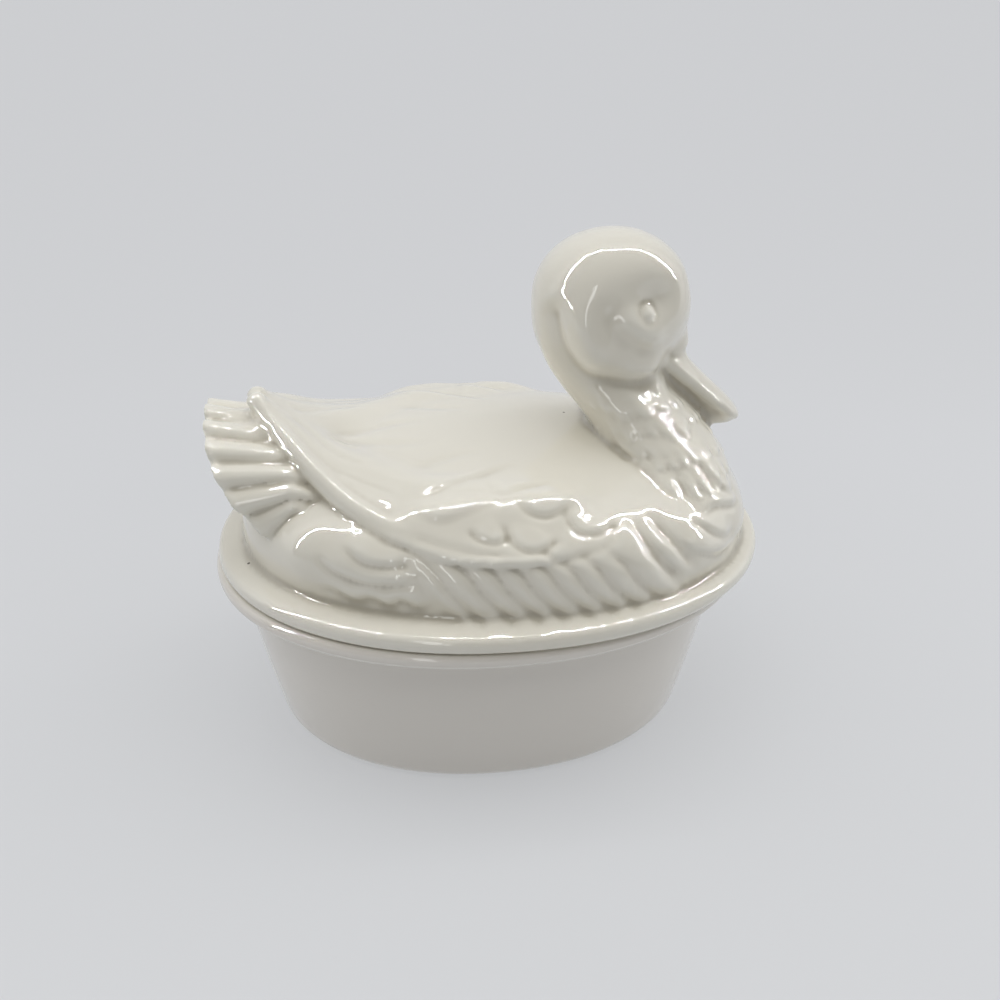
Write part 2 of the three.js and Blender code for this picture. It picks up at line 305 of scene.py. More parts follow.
# Body: ovals drawn in up an arch, by powers of its cosine that differ at breast, rump and side.
def bodySkin(shape, inset, steps, levels):
    turn = np.radians(np.linspace(0, 89, levels))
    foot = lidShape["flangeThickness"] / (1 if inset else 2)
    front = lidShape["length"] / 2 - shape["bareAtBreast"] - shape["widestForward"] - inset
    back = lidShape["length"] / 2 - shape["bareAtTail"] + shape["widestForward"] - inset
    side = lidShape["width"] / 2 - shape["bareAtSide"] - inset
    rise = shape["backHeight"] - shape["widestHeight"] - inset
    z = np.append(foot, shape["widestHeight"] + rise * squarer(np.sin(turn), shape["archPower"]))
    fronts = np.append(front, front * squarer(np.cos(turn), shape["breastPower"]))
    backs = np.append(back, (back + shape["swell"]) * squarer(np.cos(turn), shape["rumpPower"]))
    sides = np.append(side, (side + shape["swell"]) * squarer(np.cos(turn), shape["archPower"]))
    power = shape["power"]
    return skin(levelRings(z, shape["widestForward"], fronts, backs, sides, power, power, steps))


neckShape = {
    # Height, back, front, half width and front power of each level section
    "sections": [
        [10, 46, 105.5, 54, 2.15],
        [19, 46, 107, 56, 2.15],
        [27, 46, 104.5, 54, 2.15],
        [35, 46, 100, 51, 2.15],
        [43, 45, 96, 46, 2.1],
        [50, 42, 91.5, 39.5, 2],
        [58, 36.5, 86, 32.5, 1.8],
        [67, 29.5, 79.5, 28.5, 1.5],
        [75, 24, 75.5, 27, 1.3],
        [82, 20.5, 77.5, 28, 1.3],
        [90, 17.5, 80.5, 30, 1.5],
        [100, 16.5, 81.5, 30.5, 1.8],
        [110, 17.5, 79.5, 29, 2],
        [119, 22, 75.5, 25, 2.1],
        [126, 30, 68, 18.5, 2.15],
        [130, 39.5, 59.5, 10, 2.15],
    ],
    "top": [131.5, 49.5],
    "crown": 1,
    "power": 2.15,
}


# Neck and head: level ovals whose sizes run smoothly through the sections.
def neckSkin(shape, inset, steps, levels):
    rows = curveOf(shape["sections"], levels)
    (top, topForward), crown = shape["top"], shape["crown"]
    kept = (rows[:, 0] < top - inset - crown) & (rows[:, 3] - inset > crown)
    z, back, front, side, frontPower = rows[kept].T
    reach = (front - back) / 2 - inset
    columns = (z, (back + front) / 2, reach, reach, side - inset, 0 * z + shape["power"], frontPower)
    ends = (top - inset, topForward, crown, crown, crown, 2, 2)
    return skin(levelRings(*(np.append(*pair) for pair in zip(columns, ends)), steps))


billShape = {
    "start": [58, 0, 89],
    "length": 63.5,
    "slopeDegrees": 39,
    "width": [22, 20],  # at the root and at the tip, as the ridge above and the depth below
    "ridge": [7, 4],
    "depth": [17, 8],
    "topPower": 1.6,
    "underPower": 3,
    "underShare": 0.66,
    "tipPower": 11,
    "thinPower": 3,
    "cornerSine": 0.35,
    "steps": 96,
    "sections": 70,
}


# Bill: sections along a sloping line, a ridged half above and a squarer half drawn in below.
def billSkin(shape):
    slope = math.radians(shape["slopeDegrees"])
    along = np.array([math.cos(slope), 0, -math.sin(slope)])
    up = np.array([math.sin(slope), 0, math.cos(slope)])
    angle = turns(shape["steps"])[None, :]
    share = np.sin(np.radians(90) * np.linspace(0, 1, shape["sections"]))[:, None]
    taper = np.sqrt(np.clip(1 - share ** shape["tipPower"], 1e-4, 1))
    width, ridge = blend(*shape["width"], share), blend(*shape["ridge"], share)
    depth = blend(*shape["depth"], share ** shape["thinPower"])
    over = angle <= np.pi
    rise = np.where(
        over,
        ridge * squarer(np.sin(angle), shape["topPower"]),
        depth * squarer(np.sin(angle), shape["underPower"]),
    )
    drawn = 1 - (1 - shape["underShare"]) * ease(0, shape["cornerSine"], -np.sin(angle))
    across = np.where(over, squarer(np.cos(angle), shape["topPower"]), squarer(np.cos(angle), 2) * drawn)
    aside = across * width * taper / 2
    rings = np.array(shape["start"]) + along * (shape["length"] * share)[..., None]
    rings = rings + np.array([0, 1, 0]) * aside[..., None] + up * (rise * taper)[..., None]
    return skin(rings)


wingShape = {
    "lowerEdge": [
        [44.5, 66, 30], [34.5, 74, 30.5], [14.5, 80.5, 30], [-7.5, 82, 30.5], [-33.5, 75.5, 33],
        [-54.5, 60, 38], [-71.5, 40, 46], [-83, 24, 53.5], [-91, 12, 61], [-94.5, 5, 65],
    ],
    "upperEdge": [
        [43.5, 65, 33], [34.5, 58, 40], [14.5, 52, 45], [-7.5, 46, 47.5], [-33.5, 38, 48],
        [-54.5, 18, 50], [-71.5, 2, 54.5], [-82.5, 0, 60], [-89, 0, 64.5], [-93.5, 0, 67.5],
    ],
    "bulge": 4,
    "root": 12,
    "endPower": 5.7,
    "steps": 200,
    "sections": 300,
}


# Wing: ovals from its lower to its upper edge, carried from shoulder to tip.
def wingSkin(shape, side):
    share = np.linspace(0, 1, shape["sections"])
    low = curveOf(shape["lowerEdge"], shape["sections"]) * [1, side, 1]
    high = curveOf(shape["upperEdge"], shape["sections"]) * [1, side, 1]
    half = (high - low) / 2
    outward = unit(np.cross(np.gradient(low, axis=0), half) * side)
    ends = squarer(np.sin(np.pi * share), shape["endPower"])
    angle = turns(shape["steps"])
    depth = np.where(np.sin(angle) > 0, shape["bulge"], shape["root"]) * np.sin(angle)
    middle = ((low + high) / 2)[:, None]
    rings = middle + half[:, None] * np.cos(angle)[None, :, None]
    rings = rings + outward[:, None] * (ends[:, None] * depth)[..., None]
    rings[[0, -1]] = middle[[0, -1]]
    return skin(rings)


rimShape = {
    "path": [
        [-94, 3.2, 66.8], [-89, 10, 61.5], [-81, 21.5, 55], [-71, 34.5, 48], [-59, 49.5, 41.5],
        [-44, 62.5, 37], [-29, 71, 35.5],
    ],
    "radii": [4.2, 4.7, 4.9, 4.8, 4.4, 3.7, 2.6],
    "steps": 32,
    "sections": 120,
    "endSteps": 11,
}


# A tube of changing radius along a path, with round ends.
def rodSkin(shape, side):
    path = curveOf(shape["path"], shape["sections"]) * [1, side, 1]
    radius = curveOf(np.array(shape["radii"])[:, None], shape["sections"])[:, 0]
    turn = np.radians(np.linspace(0, 90, shape["endSteps"] + 1))[:-1]
    way = unit(np.gradient(path, axis=0))
    head = path[0] - way[0] * (radius[0] * np.cos(turn))[:, None]
    foot = path[-1] + way[-1] * (radius[-1] * np.cos(turn[::-1]))[:, None]
    path = np.vstack([head, path, foot])
    radius = np.concatenate([radius[0] * np.sin(turn), radius, radius[-1] * np.sin(turn[::-1])])
    way = np.pad(way, ((len(turn), len(turn)), (0, 0)), mode="edge")
    level = unit(np.cross(way, [0, 0, 1]))
    upright = np.cross(level, way)
    angle = turns(shape["steps"])
    ring = level[:, None] * np.cos(angle)[None, :, None] + upright[:, None] * np.sin(angle)[None, :, None]
    return skin(path[:, None] + radius[:, None, None] * ring)


tailShape = {
    "start": [-56, 40, 32, 13],
    "root": [-82, 42, 38, 20],
    "tip": [-115, 42, 28, 37.5],
    "rootShare": 0.45,
    "tipSweep": 20.5,
    "sweepPower": 3,
    "reachDegrees": 97,
    "thickness": [20, 6],  # at the start and at the tip, as the relief
    "feathers": 11,
    "relief": [1.7, 3.6],
    "crestPower": 1.3,  # above 1 moves a feather's crest towards its lower edge
    "crestFlatness": 0.65,
    "underRelief": 0.4,  # of the relief on top
    "notch": 0.8,
    "notchFrom": 0.6,
    "steps": 500,
    "sections": 160,
}


# Tail: arches of forward, half width, low and rise over the rump, from start over root to tip and
# back underneath. A feather's crest is |sin(pi share^crestPower)|^crestFlatness of its width.
def tailSkin(shape):
    across = np.linspace(0, 1, shape["steps"])[:, None]
    around = np.linspace(0, 2, shape["sections"], endpoint=False)[None, :]
    angle = np.radians(shape["reachDegrees"]) * (1 - 2 * across)
    share = np.where(around <= 1, around, 2 - around)

    def arch(name, sweep=0):
        forward, halfWidth, low, rise = shape[name]
        level = [forward + sweep + 0 * angle, halfWidth * np.sin(angle), low + rise * np.cos(angle)]
        return np.stack([np.broadcast_to(part, angle.shape) for part in level], axis=-1)

    sweep = shape["tipSweep"] * np.abs(angle / np.radians(90)) ** shape["sweepPower"]
    start, root, tip = arch("start"), arch("root"), arch("tip", sweep)
    early = np.clip(share / shape["rootShare"], 0, 1)[..., None]
    late = np.clip((share - shape["rootShare"]) / (1 - shape["rootShare"]), 0, 1)[..., None]
    top = start + (root - start) * early + (tip - root) * late
    inward = np.stack([0 * angle, -np.sin(angle), -np.cos(angle)], axis=-1)
    thickness = blend(*shape["thickness"], share)
    feather = (np.abs(1 - 2 * across) * shape["feathers"] / 2 + 0.5) % 1
    crest = np.abs(np.sin(np.pi * feather ** shape["crestPower"])) ** shape["crestFlatness"]
    groove = (1 - crest) * blend(*shape["relief"], share)
    draw = (1 - np.sqrt(crest)) * shape["notch"] * ease(shape["notchFrom"], 1, share)
    depth = np.where(around <= 1, groove, thickness - shape["underRelief"] * groove)
    forward = np.array([1, 0, 0]) * draw[..., None]
    return skin(top + inward * depth[..., None] + forward)


# The opening through the flange and the skirt.
def mouthSkin(shape):
    past = shape["mouthPast"]
    height = np.array([-shape["skirtDepth"] - past, shape["flangeThickness"] + past])
    halves = (half - shape["skirtWall"] for half in shape["skirtHalf"])
    return skin(ovalRings(height, *halves, shape["power"], shape["mouthSteps"]))


def remeshed(name, skins, voxel):
    piece = objectOf(name, meshOf(name, skins))
    remesh = piece.modifiers.new("remesh", "REMESH")
    remesh.mode = "VOXEL"
    remesh.voxel_size = voxel * mm
    settle(piece)
    return piece


# What every vertex or edge says under a name, as rows.
def rowsOf(items, name, width, kind=float):
    flat = np.empty(len(items) * width, dtype=kind)
    items.foreach_get(name, flat)
    return flat.reshape(-1, width)


def placesOf(mesh):
    return rowsOf(mesh.vertices, "co", 3) / mm


def edgesOf(mesh):
    return rowsOf(mesh.edges, "vertices", 2, np.int64)


def normalsOf(mesh):
    return rowsOf(mesh.vertex_normals, "vector", 3)


# The mean of each vertex's neighbours.
def neighbourMean(values, edges):
    count = len(values)
    one, two = edges.T
    number = np.bincount(one, minlength=count) + np.bincount(two, minlength=count)
    flat = values.reshape(count, -1)
    total = np.stack([
        np.bincount(one, flat[two, column], count) + np.bincount(two, flat[one, column], count)
        for column in range(flat.shape[1])
    ], axis=1)
    return (total / np.maximum(number, 1)[:, None]).reshape(values.shape)


# Smoothing that keeps the volume: towards the neighbours' mean, then back by a little more.
def relax(places, edges, passes, inward=0.5, outward=-0.52):
    for _ in range(passes):
        for share in (inward, outward):
            places = places + share * (neighbourMean(places, edges) - places)
    return places


# How hollow the skin is at each vertex, from 0 on a ridge over 0.5 on the flat to 1 in a groove:
# its depth under the neighbours' mean over the square of their spacing.
# The glaze is coloured darker where this is high: partly the glaze's own pooling in grooves, partly painted
# shade in the creases and corners.
def markPoolAndShade(mesh, passes=3, spread=2, gain=2.2):
    places, edges, normals = placesOf(mesh), edgesOf(mesh), normalsOf(mesh)
    wide = places
    for _ in range(passes):
        wide = neighbourMean(wide, edges)
    length = np.linalg.norm(places[edges[:, 0]] - places[edges[:, 1]], axis=1)
    number = np.bincount(edges.ravel(), minlength=len(places))
    spacing = np.bincount(edges.ravel(), np.repeat(length, 2), len(places)) / np.maximum(number, 1)
    depth = ((wide - places) * normals).sum(axis=1) / np.maximum(spacing, 1) ** 2
    for _ in range(spread):
        depth = neighbourMean(depth, edges)
    poolAndShade = mesh.attributes.new("poolAndShade", "FLOAT", "POINT")
    poolAndShade.data.foreach_set("value", np.clip(0.5 + gain * depth, 0, 1).astype(np.float32))


# Plain smoothing where the mask is above 0: fills the join between two forms.
def fillIn(places, edges, mask, passes, strength=0.6):
    masked = mask > 0
    kept = edges[masked[edges].any(axis=1)]
    used = np.unique(kept)
    index = np.zeros(len(places), dtype=np.int64)
    index[used] = np.arange(len(used))
    kept, some, share = index[kept], places[used], (mask * masked)[used, None]
    for _ in range(passes):
        some = some + strength * share * (neighbourMean(some, kept) - some)
    filled = places.copy()
    filled[used] = some
    return filled


def ontoLeft(places):
    return places * [1, 0, 1] + np.abs(places) * [0, 1, 0]


# Which of the places lie in the box round a curve, widened by the reach.
def boxedBy(places, curve, reach):
    low, high = curve.min(axis=0) - reach, curve.max(axis=0) + reach
    return np.flatnonzero(((places > low) & (places < high)).all(axis=1))


# 1 within half the reach of a smooth path, fading to 0 at its reach.
def nearPath(places, points, reach):
    folded = ontoLeft(places)
    curve = curveOf(points, 12 * len(points))
    near = boxedBy(folded, curve, reach)
    distance = np.full(len(places), np.inf)
    gap = folded[near][:, None, :] - curve[None]
    distance[near] = np.sqrt((gap ** 2).sum(axis=2).min(axis=1))
    return ease(reach, reach / 2, distance)


# 1 inside the ellipsoid of the given radii, fading to 0 at 1 + soft times the radii.
def inside(places, centre, radii, soft=0.5):
    reach = np.sqrt((((ontoLeft(places) - np.array(centre)) / np.array(radii)) ** 2).sum(axis=1))
    return ease(1 + soft, 1, reach)


def putPlaces(mesh, places):
    mesh.vertices.foreach_set("co", (places * mm).ravel())
    mesh.update()


# Carving. Strokes and bumps are given on the duck's left side, and both sides get them.

strokeShape = {
    "step": 1.5,
    "fewest": 6,
    "creaseAside": 1,
    "creaseWidth": 1.3,
    "creaseFade": 0.12,
}


# The skin folded onto its left side, and its move so far.
def carving(places, normals):
    fold = np.where(places[:, 1:2] < 0, [1, -1, 1], [1, 1, 1])
    return {"places": places * fold, "normals": normals * fold, "move": np.zeros(len(places))}


# A smooth curve through the points, each drawn onto the skin along the nearest vertex's normal.
def laidOn(work, points):
    points = np.array(points, float)
    length = np.linalg.norm(np.diff(points, axis=0), axis=1).sum()
    count = max(int(length / strokeShape["step"]), strokeShape["fewest"])
    curve = curveOf(points, count)
    nearest = [int(np.argmin(((work["places"] - point) ** 2).sum(axis=1))) for point in curve]
    normal = work["normals"][nearest]
    away = ((curve - work["places"][nearest]) * normal).sum(axis=1, keepdims=True)
    return curve - away * normal


# Distance of each vertex near a curve, its side (1 on the left of the way), and the share along.
def alongCurve(work, points, reach):
    curve = laidOn(work, points)
    near = boxedBy(work["places"], curve, reach)
    spot, normal = work["places"][near], work["normals"][near]
    start, step = curve[:-1], np.diff(curve, axis=0)
    offset = spot[:, None, :] - start[None]
    share = np.clip((offset * step).sum(axis=2) / (step ** 2).sum(axis=1), 0, 1)
    gap = offset - share[..., None] * step
    squared = (gap ** 2).sum(axis=2)
    best = squared.argmin(axis=1)
    row = np.arange(len(near))
    left = np.cross(normal, step[best])
    side = np.sign((left * gap[row, best]).sum(axis=1))
    along = (best + share[row, best]) / len(step)
    return near, np.sqrt(squared[row, best]), side, along


# Fades to nothing at both ends of a stroke.
def faded(along, share):
    return ease(0, share, along) * ease(0, share, 1 - along)


# Groove: a bell-shaped valley along the curve.
def groove(work, points, width, depth, fade=0.3):
    near, distance, _, along = alongCurve(work, points, width * 3)
    work["move"][near] -= depth * np.exp(-(distance / width) ** 2) * faded(along, fade)


# Feather's edge: the left side stands up and falls off over the spread, with a fine crease at
# its foot. The height fades early towards both ends and the crease late.
def featherEdge(work, points, height, spread, crease, fade=0.3, sharp=1):
    near, distance, side, along = alongCurve(work, points, spread * 2)
    step = 0.5 + 0.5 * np.tanh(distance * side / sharp)
    raised = np.exp(-(distance / spread) ** 2) * faded(along, fade)
    below = (distance * side + strokeShape["creaseAside"]) / strokeShape["creaseWidth"]
    sunk = crease * np.exp(-below ** 2) * faded(along, strokeShape["creaseFade"])
    work["move"][near] += height * step * raised - sunk


# Bump: a bell of the given height over an ellipsoid's radii; a negative height makes a dent.
def bump(work, centre, radii, height):
    span = ((work["places"] - np.array(centre)) / np.array(radii)) ** 2
    work["move"] += height * np.exp(-span.sum(axis=1))


# A round groove at the given distance from a place on the skin.
def ringAround(work, centre, radius, width, depth):
    distance = np.sqrt(((work["places"] - np.array(centre)) ** 2).sum(axis=1))
    work["move"] -= depth * np.exp(-((distance - radius) / width) ** 2)


flankShape = {
    "creases": [-42, -30, -18.5, -8.5, 0.5, 10.5, 19.5, 28.8, 39, 52, 62],  # forward, at height 24
    "lean": [  # height, and how much further forward the creases are there
        [38, -13], [34, -10], [30, -6.3], [25, -0.8], [20, 2.6], [17, 4.8], [14, 8], [10, 12], [6, 15],
    ],
    "leanSteps": 80,
    "creaseFloor": 0.02,
    "ribPower": 0.2,
    "ribHeight": 2.2,
    "level": 0.5,
    "foot": 7.2,
    "footRound": 2,
    "footFade": [6.2, 7.7],
    "top": [[-40, 33], [-33, 32.5], [-12, 33], [10, 31.5], [24, 31], [32, 34], [37, 36], [48, 38]],
    "topFade": [0.5, -1.2],
    "rearFade": [0.2, 0.9],
    "frontFade": 0.3,
    "sideFade": [30, 40],
    "closing": [26, 32.5],  # heights between which the creases fill up
    "closed": 0.85,
    "frontCreases": [
        [[44, 66, 36], [48, 73, 30], [53, 74, 23], [59, 73, 17], [65, 71, 13]],
        [[51, 61, 38], [55, 67, 33], [60, 69, 26], [65, 68, 20], [72, 64, 15]],
    ],
    "rearEdges": [
        [[-40, 75, 30], [-48, 72, 28], [-56, 68, 28], [-64, 61, 32]],
        [[-37, 78, 24], [-46, 75, 22], [-56, 70, 21], [-66, 64, 23], [-72, 57, 27]],
        [[-32, 80, 17], [-38, 79, 13.5], [-44, 76, 16], [-49, 75, 13.5], [-55, 72, 15.5], [-61, 69, 13.5],
         [-68, 64, 16], [-75, 58, 15]],
    ],
    "bumps": [[[-78, 54, 26], [13, 16, 13], 3.2], [[-60, 62, 32], [9, 14, 8], 1.6]],
}


# Ribs: round bulges with creases between them, slanting forward as they go down in an S.
# With p counting the creases, a rib's height is (sin(pi p)^2 + creaseFloor)^ribPower.
def carveFlank(work, shape):
    x, y, z = work["places"].T
    lean = curveOf(shape["lean"][::-1], shape["leanSteps"])
    creases = shape["creases"]
    count = np.interp(x - np.interp(z, lean[:, 0], lean[:, 1]), creases, np.arange(len(creases)))
    rib = (np.sin(np.pi * count) ** 2 + shape["creaseFloor"]) ** shape["ribPower"]
    rib = rib + shape["closed"] * (1 - rib) * ease(*shape["closing"], z)
    foot = np.sqrt(np.clip((z - shape["foot"]) / shape["footRound"], 0, 1))
    along, top = np.array(shape["top"]).T
    last = len(creases) - 2
    mask = ease(*shape["topFade"], z - np.interp(x, along, top))
    mask *= ease(*shape["rearFade"], count) * ease(last + shape["frontFade"], last, count)
    mask *= ease(*shape["footFade"], z) * ease(*shape["sideFade"], y)
    work["move"] += shape["ribHeight"] * (rib - shape["level"]) * foot * mask
    for points in shape["rearEdges"]:
        featherEdge(work, points, height=1.4, spread=9, crease=0.7)
    for points in shape["frontCreases"]:
        groove(work, points, width=2.6, depth=1.6)
    for centre, radii, height in shape["bumps"]:
        bump(work, centre, radii, height)


wingRelief = {
    "coverts": [
        [[13, 75, 37], [9, 78, 35], [3, 79, 34], [-3, 76, 37], [-5, 69, 41]],
        [[-4, 73, 39], [-9, 76, 37], [-15, 74, 38], [-18, 70, 40]],
        [[36, 68, 38], [34, 73, 34], [27, 78, 32], [19, 80, 31], [11, 80, 31], [8, 78, 35]],
        [[37, 67, 39], [30, 72, 36], [23, 73, 37], [20, 70, 39], [19, 64, 42]],
        [[23, 60, 43], [16, 65, 42], [10, 67, 41], [4, 65, 42], [1, 60, 44]],
    ],
    "shoulder": [[-46, 56, 43], [-36, 61, 43], [-24, 63, 43.5], [-12, 64, 44], [1, 63, 44.5],
                 [14, 61, 44.5], [24, 60, 44], [33, 62, 42]],
    "scapulars": [
        [[7, 34, 48], [-2, 37, 48], [-10, 42, 48], [-18, 46, 47], [-26, 50, 46], [-33, 53, 46],
         [-39, 54, 45]],
        [[16, 48, 47], [5, 53, 47], [-2, 56, 46], [-8, 57, 45]],
        [[-2, 60, 44], [-17, 64, 42], [-29, 66, 41], [-38, 61, 42]],
    ],
    "back": [
        [[-4, 22, 50], [-16, 25, 50], [-24, 28, 49], [-32, 31, 48], [-39, 28, 48]],
        [[-22, 10, 50], [-37, 11, 49], [-50, 7, 48], [-59, 3, 48], [-65, 3, 50]],
    ],
    "flight": [
        [[-91, 7, 68], [-80, 17, 60], [-73, 27, 54], [-66, 34, 51], [-58, 39, 49], [-48, 46, 47],
         [-38, 54, 45]],
        [[-84, 3, 63], [-76, 9, 57], [-68, 19, 53], [-60, 27, 50], [-50, 33, 48]],
        [[-70, 33, 52], [-60, 45, 47], [-52, 53, 45], [-44, 60, 43]],
    ],
    "low": [[-42, 68, 38], [-29, 75, 36], [-16, 79, 34], [-5, 80, 33]],
}


def carveWing(work, shape):
    groove(work, shape["shoulder"], width=7.5, depth=-2.2, fade=0.2)
    for line in shape["coverts"]:
        featherEdge(work, line, height=0.6, spread=12, crease=0.75, fade=0.2, sharp=0.6)
    for line in shape["scapulars"]:
        featherEdge(work, line, height=1, spread=11, crease=0.2, fade=0.35)
    for line in shape["back"]:
        groove(work, line, width=3, depth=0.5, fade=0.35)
    for line in shape["flight"]:
        groove(work, line, width=2, depth=0.5, fade=0.18)
    groove(work, shape["low"], width=2.2, depth=0.7, fade=0.18)


headRelief = {
    "jaw": [[20, 13, 110], [19.5, 17, 104], [19.5, 19, 98], [21.5, 20.5, 90], [26, 21.5, 83], [33, 23, 79],
            [41, 25, 77], [51, 26, 75.5], [61, 22, 74.5], [67, 17, 74]],
    "collar": [[68, 50, 38], [64, 52, 39], [60, 49, 41.5], [57, 42, 44], [53, 36, 46.5], [49, 31, 49],
               [45, 26, 53], [42, 22.5, 57]],
    "ear": [[36, 27, 113], [39, 28, 105], [44, 29, 97], [50, 29, 91], [58, 27, 87], [65, 22, 84]],
    "cheek": [[43, 29, 107], [48, 30, 102.5], [54, 29.5, 98], [60, 27, 94], [66, 22, 90]],
    "billWall": [[70, 15, 73], [75, 12, 69], [80, 11, 65], [86, 10.5, 60], [93.5, 10, 54], [99.5, 9, 49.5]],
    "billEdge": [[66, 14, 82], [70, 13, 79], [76.7, 11.5, 73.9], [89, 11, 63.8], [98, 10, 56.4],
                 [104, 8, 51.5]],
    "bumps": [  # centre, radii and height
        [[32, 25, 100], [5.5, 13, 8], 1.8],
        [[36, 26, 88], [6, 13, 9], 2.3],
        [[60, 27, 109.5], [13, 12, 8.5], -4.6],  # the eye's socket
        [[57.3, 28, 104.8], [3.6, 9, 3.4], 1.9],  # the eye
        [[52, 25, 83], [11, 12, 5], 1.2],
        [[59, 23, 79], [8, 10, 5.5], 3.2],
        [[80, 0, 84], [8, 9, 7], 5],  # over the bill's root
    ],
    "eye": [57.3, 29, 104.8],
    "breast": [
        [[95, 33, 33], [89, 42, 35], [83, 43, 40], [79, 40, 45], [78, 34, 50]],
        [[96, 38, 28], [91, 45, 30], [80, 51, 32], [74, 58, 32]],
        [[92, 48, 21], [86, 55, 22], [80, 59, 25], [74, 60, 29], [69, 60, 33]],
        [[92, 49, 13], [80, 61, 17], [69, 68, 23], [63, 68, 28]],
    ],
}


def carveHead(work, shape):
    featherEdge(work, shape["collar"], height=1, spread=9, crease=0.15, fade=0.25)
    groove(work, shape["jaw"], width=6.5, depth=2.8, fade=0.16)
    groove(work, shape["jaw"], width=2.6, depth=0.6, fade=0.25)
    groove(work, shape["ear"], width=7, depth=1.7)
    groove(work, shape["cheek"], width=5.2, depth=-1.8)
    for centre, radii, height in shape["bumps"]:
        bump(work, centre, radii, height)
    ringAround(work, shape["eye"], radius=4, width=1.3, depth=0.9)
    groove(work, shape["billWall"], width=4.2, depth=1.1, fade=0.15)
    groove(work, shape["billEdge"], width=2.2, depth=-1.2)
    for line in shape["breast"]:
        featherEdge(work, line, height=1.1, spread=10, crease=0.6)


scaleShape = {
    "rowHeights": [80, 73, 66, 58.5, 50, 41, 31, 20, 8],
    "around": 12,
    "height": 2.1,
    "level": 0.6,  # of the height, where the skin was
    "tongue": [0.7, 0.75, 0.9],  # how far a tongue reaches, its round end, and how pointed that is
    "fall": [0.5, 0.4],  # of the height, over one row up from the tip and towards the sides
    "fallReach": 1.6,
    "swayAcross": [[0.3, 0.21, 0, 0.29], [0.2, 0, 0.37, 0]],  # size, and pace along x, y and z
    "swayDown": [[0.15, 0.17, 0.31, 0]],
    "collar": [35, 67, 0.95],  # forward, height and slope of the scales' rear border
    "ripple": 1.5,
    "collarFade": [-1, 1.5],
    "breast": [64, 72],
    "breastShare": 0.8,
    "forward": [26, 36],
    "foot": [32, 40],
    "top": [72, 65],
    "ahead": [4, 1.5],
    "billUp": [0.63, 0, 0.78],
    "billFade": [-6, -10],
}


# A sum of slow sines of the place.
def sway(spot, waves):
    return sum(size * np.sin(spot @ np.array(pace)) for size, *pace in waves)


# Scales: rows of round-ended tongues round the neck, every other row moved half a scale. The
# upper tongues lie over the lower ones, and each stands highest at its round end.
def carveScales(work, shape):
    spot = work["places"]
    x, y, z = spot.T
    rows = np.array(neckShape["sections"])
    back, front, side = (np.interp(z, rows[:, 0], rows[:, column]) for column in (1, 2, 3))
    turn = np.arctan2(y / side, (x - (back + front) / 2) / ((front - back) / 2)) / np.pi
    heights = np.array(shape["rowHeights"])
    across = turn * shape["around"] + sway(spot, shape["swayAcross"])
    down = np.interp(-z, -heights, np.arange(len(heights))) + sway(spot, shape["swayDown"])
    height = np.zeros(len(spot))
    done = np.zeros(len(spot), bool)
    reach, end, point = shape["tongue"]
    fallUp, fallAside = shape["fall"]
    for upper in (-1, 0, 1):
        row = np.floor(down).astype(int) + upper
        middle = np.round(across - 0.5 * (row % 2)) + 0.5 * (row % 2)
        aside = np.clip(np.abs(across - middle) * 2, 0, 1)
        tip = row + reach + end * np.sqrt(1 - point * aside ** 2)
        over = (down <= tip) & ~done
        fromTip = np.clip(tip - down, 0, shape["fallReach"])
        crown = shape["height"] * (1 - fallUp * fromTip) * (1 - fallAside * aside ** 2)
        height = np.where(over, crown, height)
        done |= over
    corner, level, slope = shape["collar"]
    ripple = shape["ripple"] * np.sin(turn * np.pi * shape["around"])
    above = z - (level - slope * (x - corner)) + ripple
    mask = np.maximum(ease(*shape["collarFade"], above), ease(*shape["breast"], x) * shape["breastShare"])
    mask *= ease(*shape["forward"], x) * ease(*shape["top"], z) * ease(*shape["foot"], z)
    mask *= ease(*shape["ahead"], x - front)
    mask *= ease(*shape["billFade"], (spot - billShape["start"]) @ np.array(shape["billUp"]))
    work["move"] += (height - shape["level"] * shape["height"]) * mask


def trianglesOf(mesh):
    return sum(len(face.vertices) - 2 for face in mesh.polygons)


plainShape = {
    "middleHeight": 40,
    "insideBelow": 30,
    "below": 6.5,
    "flangeBelow": 9.2,
    "flangeFrom": 0.46,  # of the lid's length and width
}


# Fewer triangles where there is no relief: on the flange, the seating ring and the inside.
def thinOut(lid, shape, wanted):
    places, normals = placesOf(lid.data), normalsOf(lid.data)
    middle = places - [bodyShape["widestForward"], 0, shape["middleHeight"]]
    inward = (normals * middle).sum(axis=1) < 0
    power = lidShape["power"]
    oval = (np.abs(places[:, :2] / [lidShape["length"], lidShape["width"]]) ** power).sum(axis=1)
    height = places[:, 2]
    flange = (height < shape["flangeBelow"]) & (oval > shape["flangeFrom"] ** power)
    chosen = (height < shape["below"]) | flange | (inward & (height < shape["insideBelow"]))
    plain = lid.vertex_groups.new(name="plain")
    plain.add(np.flatnonzero(chosen).tolist(), 1, "REPLACE")
    fewer = lid.modifiers.new("fewer", "DECIMATE")
    fewer.vertex_group = "plain"
    fewer.ratio = min(1, wanted / trianglesOf(lid.data))
    settle(lid)
    lid.vertex_groups.clear()


